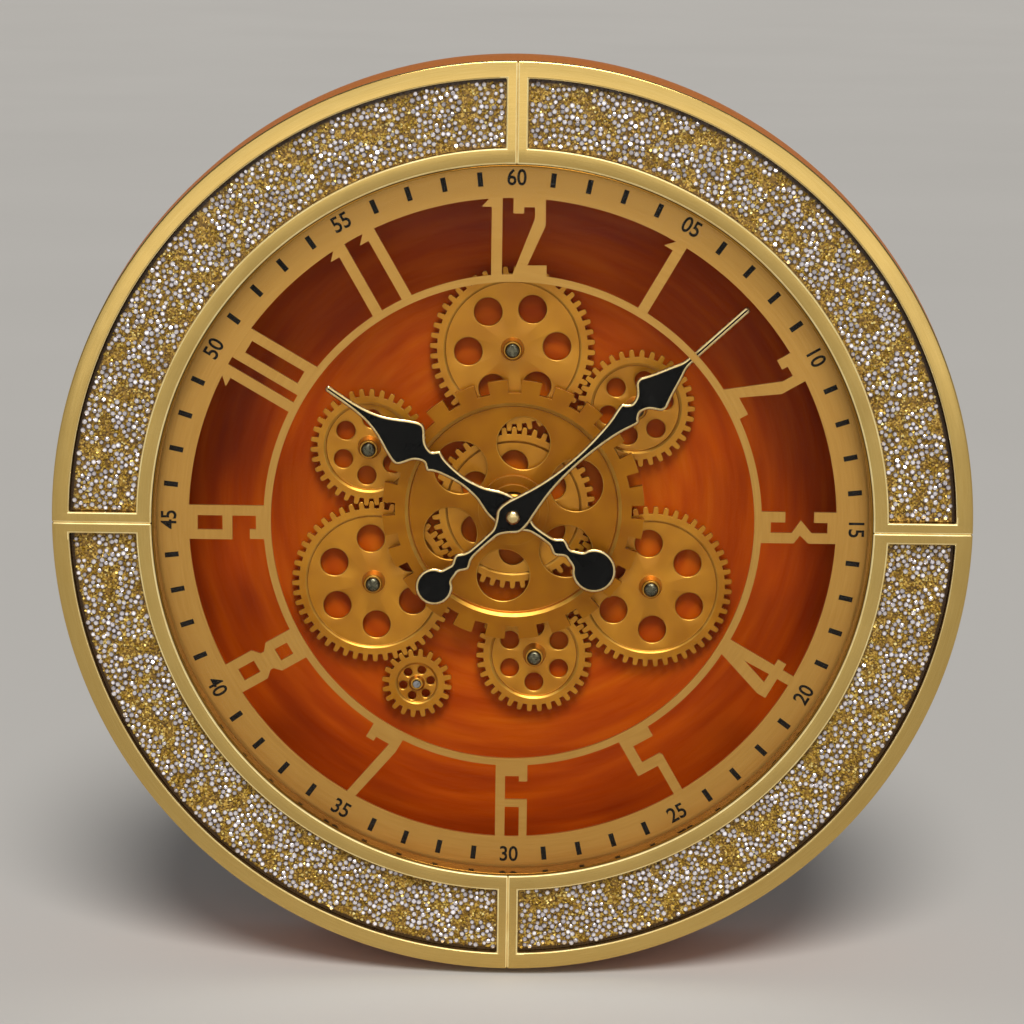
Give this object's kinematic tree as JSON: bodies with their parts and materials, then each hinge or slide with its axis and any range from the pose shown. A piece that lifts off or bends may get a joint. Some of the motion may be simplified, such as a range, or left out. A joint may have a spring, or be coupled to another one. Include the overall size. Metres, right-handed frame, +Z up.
{
  "type": "gear wall clock",
  "caption": "Round wall clock with a jewelled gold bezel, an open skeleton dial, a pair of hands and a train of turning gears behind glass.",
  "frame": {"origin": "middle of the whole clock, on the axis of the hands, halfway between the bezel front and the wall", "axes": "+Z is up, -Y is the front, +Y points into the wall, +X is to the viewer's right"},
  "size_m": [0.608, 0.115, 0.608],
  "materials": {
    "bezel_gold": "polished gold plating",
    "crystal": "clear crystals on gold glitter",
    "dial_gold": "satin gold, black print",
    "gear_gold": "satin gold paint",
    "case_copper": "satin copper brown",
    "panel_orange": "glossy amber with brushed streaks",
    "hand_black": "black enamel with pale gold edges",
    "clear_glass": "clear flat glass",
    "steel": "zinc plated",
    "brass_fitting": "polished",
    "black_plastic": "matt moulded",
    "white_plastic": "matt moulded",
    "cell_wrap": "plain printed sleeve"
  },
  "bodies": {
    "clock": {"case_drum": "case_copper", "bezel_frame_1": "bezel_gold", "bezel_frame_2": "bezel_gold", "bezel_frame_3": "bezel_gold", "bezel_frame_4": "bezel_gold", "crystal_panel_1": "crystal", "crystal_panel_2": "crystal", "crystal_panel_3": "crystal", "crystal_panel_4": "crystal", "inner_trim_ring": "bezel_gold", "glass": "clear_glass", "dial_plate": "dial_gold", "dial_screw_1": "steel", "dial_screw_2": "steel", "dial_screw_3": "steel", "dial_screw_4": "steel", "back_panel": "panel_orange", "panel_screw_1": "steel", "panel_screw_2": "steel", "panel_screw_3": "steel", "panel_screw_4": "steel", "axle_top": "steel", "axle_top_right": "steel", "axle_left": "steel", "axle_lower_left": "steel", "axle_lower_right": "steel", "axle_bottom": "steel", "gear_screw_top": "steel", "gear_screw_top_right": "steel", "gear_screw_left": "steel", "gear_screw_lower_left": "steel", "gear_screw_lower_right": "steel", "gear_screw_bottom": "steel", "centre_bush": "steel", "movement_nut": "brass_fitting", "movement_housing": "black_plastic", "movement_cell": "cell_wrap", "gear_motor_housing": "black_plastic", "motor_cell": "cell_wrap", "hanger_bracket": "steel", "hanger_screw_1": "steel", "hanger_screw_2": "steel"},
    "centre_wheels": {"gear_centre": "gear_gold", "front_wheel": "gear_gold"},
    "top_gear": {"gear_top": "gear_gold"},
    "top_right_gear": {"gear_top_right": "gear_gold"},
    "left_gear": {"gear_left": "gear_gold"},
    "lower_left_gear": {"gear_lower_left": "gear_gold"},
    "lower_right_gear": {"gear_lower_right": "gear_gold"},
    "bottom_gear": {"gear_bottom": "gear_gold"},
    "motor_pinion": {"gear_pinion": "gear_gold", "motor_shaft": "steel"},
    "minute_arbor": {"minute_hand": "hand_black", "hand_cap": "brass_fitting", "minute_shaft": "steel"},
    "hour_arbor": {"hour_hand": "hand_black", "hour_tube": "brass_fitting"},
    "set_knob": {"time_set_knob": "white_plastic"}
  },
  "joints": [
    {"name": "centre_spin", "type": "hinge", "parent": "clock", "child": "centre_wheels", "pos_m": [0, 0, 0], "axis": [0, 1, 0], "continuous": true},
    {"name": "top_spin", "type": "hinge", "parent": "clock", "child": "top_gear", "pos_m": [-0.0019, 0, 0.1087], "axis": [0, 1, 0], "continuous": true},
    {"name": "top_right_spin", "type": "hinge", "parent": "clock", "child": "top_right_gear", "pos_m": [0.08227, 0, 0.06946], "axis": [0, 1, 0], "continuous": true},
    {"name": "left_spin", "type": "hinge", "parent": "clock", "child": "left_gear", "pos_m": [-0.09842, 0, 0.04027], "axis": [0, 1, 0], "continuous": true},
    {"name": "lower_left_spin", "type": "hinge", "parent": "clock", "child": "lower_left_gear", "pos_m": [-0.09518, 0, -0.05254], "axis": [0, 1, 0], "continuous": true},
    {"name": "lower_right_spin", "type": "hinge", "parent": "clock", "child": "lower_right_gear", "pos_m": [0.09463, 0, -0.05354], "axis": [0, 1, 0], "continuous": true},
    {"name": "bottom_spin", "type": "hinge", "parent": "clock", "child": "bottom_gear", "pos_m": [0.01561, 0, -0.10233], "axis": [0, 1, 0], "continuous": true},
    {"name": "pinion_spin", "type": "hinge", "parent": "clock", "child": "motor_pinion", "pos_m": [-0.06509, 0, -0.12343], "axis": [0, 1, 0], "continuous": true},
    {"name": "minute_spin", "type": "hinge", "parent": "clock", "child": "minute_arbor", "pos_m": [0, 0, 0], "axis": [0, 1, 0], "continuous": true},
    {"name": "hour_spin", "type": "hinge", "parent": "clock", "child": "hour_arbor", "pos_m": [0, 0, 0], "axis": [0, 1, 0], "continuous": true},
    {"name": "knob_spin", "type": "hinge", "parent": "clock", "child": "set_knob", "pos_m": [0.013, 0, 0.0065], "axis": [0, 1, 0], "continuous": true}
  ],
  "couplings": [
    {"joint": "top_spin", "follows": "centre_spin", "ratio": -1},
    {"joint": "lower_left_spin", "follows": "centre_spin", "ratio": -1},
    {"joint": "lower_right_spin", "follows": "centre_spin", "ratio": -1},
    {"joint": "top_right_spin", "follows": "centre_spin", "ratio": 1.4118},
    {"joint": "left_spin", "follows": "centre_spin", "ratio": 1.4118},
    {"joint": "bottom_spin", "follows": "centre_spin", "ratio": 1.4118},
    {"joint": "pinion_spin", "follows": "centre_spin", "ratio": 2.4},
    {"joint": "hour_spin", "follows": "minute_spin", "ratio": 0.083333},
    {"joint": "knob_spin", "follows": "minute_spin", "ratio": 1}
  ]
}
